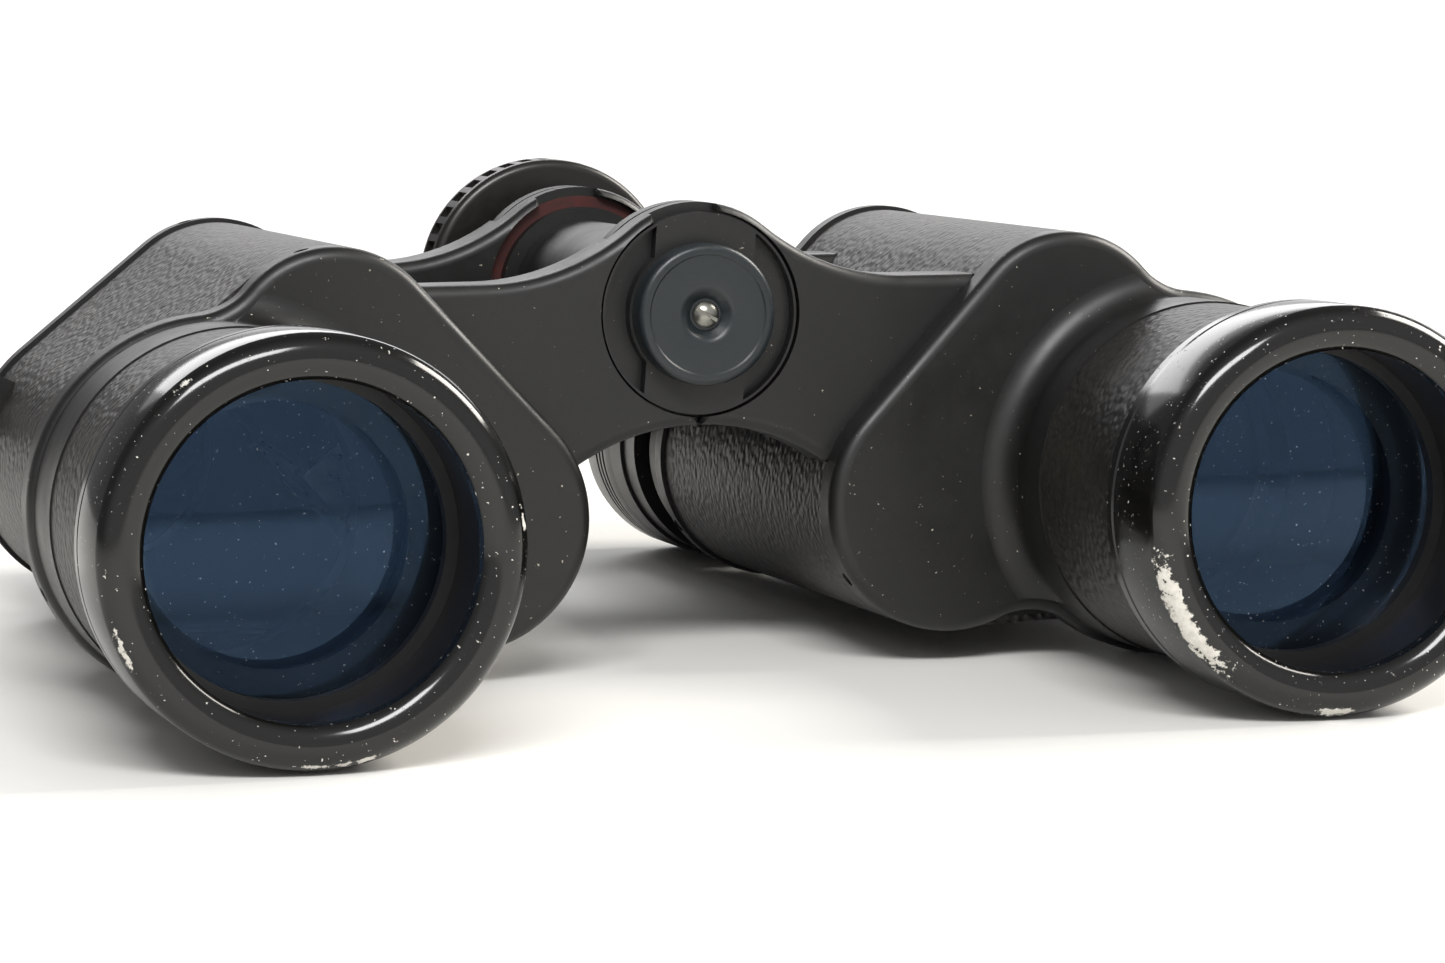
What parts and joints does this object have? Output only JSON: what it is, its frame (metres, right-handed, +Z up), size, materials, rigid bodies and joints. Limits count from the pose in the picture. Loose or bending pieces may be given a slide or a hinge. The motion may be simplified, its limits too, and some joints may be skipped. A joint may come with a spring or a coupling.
{
  "type": "binoculars",
  "caption": "Centre-focus porro prism binoculars with offset prism housings, hinged arms, hooded objectives, leatherette-covered barrels, focus bridge and diopter ring.",
  "frame": {"origin": "middle of the footprint, on the surface that the objective rims stand on", "axes": "+X across the pair towards the user's left barrel, +Y from the objectives to the eyepieces along the optical axes, +Z up"},
  "size_m": [0.1572, 0.147, 0.0576],
  "materials": {
    "satin_black_metal": "satin black enamel on die-cast aluminium",
    "black_enamel": "glossy black enamel, worn to bare metal at the edges",
    "black_anodised": "black anodised turned aluminium",
    "leatherette": "fine pebble-grained black leatherette",
    "coated_glass": "magnesium-fluoride coated optical glass with a blue sheen",
    "optical_glass": "polished optical glass",
    "steel": "turned steel",
    "brass": "turned brass",
    "red_fibre": "red vulcanised fibre",
    "black_plastic": "black phenolic plastic"
  },
  "bodies": {
    "right_barrel": {"right_barrel_leatherette": "leatherette", "right_eyepiece_guide_tube": "black_anodised", "right_front_cover": "satin_black_metal", "right_front_cover_screws": "steel", "right_front_prism": "optical_glass", "right_housing_leatherette": "leatherette", "right_lens_retaining_ring": "black_anodised", "right_objective_barrel": "black_anodised", "right_objective_crown_lens": "coated_glass", "right_objective_flint_lens": "optical_glass", "right_objective_ring": "black_enamel", "right_prism_clips": "steel", "right_prism_housing": "satin_black_metal", "right_prism_shelf": "black_anodised", "right_rear_cover": "satin_black_metal", "right_rear_cover_screws": "steel", "right_rear_prism": "optical_glass", "right_strap_lug": "satin_black_metal", "hinge_axle": "steel", "hinge_sleeve": "satin_black_metal", "hinge_tail_sleeve": "satin_black_metal", "hinge_washers": "brass", "hinge_fibre_washer": "red_fibre", "hinge_front_flange": "satin_black_metal", "hinge_cap": "satin_black_metal", "hinge_cap_screw": "steel"},
    "left_barrel": {"left_barrel_leatherette": "leatherette", "left_eyepiece_guide_tube": "black_anodised", "left_front_cover": "satin_black_metal", "left_front_cover_screws": "steel", "left_front_prism": "optical_glass", "left_housing_leatherette": "leatherette", "left_lens_retaining_ring": "black_anodised", "left_objective_barrel": "black_anodised", "left_objective_crown_lens": "coated_glass", "left_objective_flint_lens": "optical_glass", "left_objective_ring": "black_enamel", "left_prism_clips": "steel", "left_prism_housing": "satin_black_metal", "left_prism_shelf": "black_anodised", "left_rear_cover": "satin_black_metal", "left_rear_cover_screws": "steel", "left_rear_prism": "optical_glass", "left_strap_lug": "satin_black_metal"},
    "focus_wheel": {"focus_wheel": "black_plastic"},
    "right_focus_bridge": {"right_focus_arm": "satin_black_metal", "focus_spindle": "brass", "spindle_end_cap": "satin_black_metal"},
    "left_focus_bridge": {"left_focus_arm": "satin_black_metal", "left_ocular_collar": "black_anodised", "left_ocular_barrel": "black_anodised", "left_field_lens": "optical_glass", "left_eye_lens": "coated_glass", "left_eyecup": "black_plastic"},
    "right_ocular": {"right_ocular_barrel": "black_anodised", "right_field_lens": "optical_glass", "right_eye_lens": "coated_glass", "right_eyecup": "black_plastic"},
    "diopter_ring": {"diopter_ring": "black_anodised"}
  },
  "joints": [
    {"name": "barrel_fold", "type": "hinge", "parent": "right_barrel", "child": "left_barrel", "pos_m": [0, 0, 0.042], "axis": [0, -1, 0], "range_deg": [0, 34]},
    {"name": "focus_wheel_turn", "type": "hinge", "parent": "right_barrel", "child": "focus_wheel", "pos_m": [0, 0, 0.042], "axis": [0, 1, 0], "range_deg": [-120, 240]},
    {"name": "right_focus_slide", "type": "slide", "parent": "right_barrel", "child": "right_focus_bridge", "axis": [0, 1, 0], "range_m": [-0.002, 0.004]},
    {"name": "left_focus_slide", "type": "slide", "parent": "left_barrel", "child": "left_focus_bridge", "axis": [0, 1, 0], "range_m": [-0.002, 0.004]},
    {"name": "right_ocular_slide", "type": "slide", "parent": "right_focus_bridge", "child": "right_ocular", "axis": [0, 1, 0], "range_m": [-0.0012, 0.0012]},
    {"name": "diopter_turn", "type": "hinge", "parent": "right_ocular", "child": "diopter_ring", "pos_m": [-0.029, 0, 0.0196], "axis": [0, 1, 0], "range_deg": [-60, 60]}
  ],
  "couplings": [
    {"joint": "focus_wheel_turn", "follows": "right_focus_slide", "rad_per_m": 1047.2},
    {"joint": "left_focus_slide", "follows": "right_focus_slide", "ratio": 1},
    {"joint": "diopter_turn", "follows": "right_ocular_slide", "rad_per_m": 872.6}
  ]
}
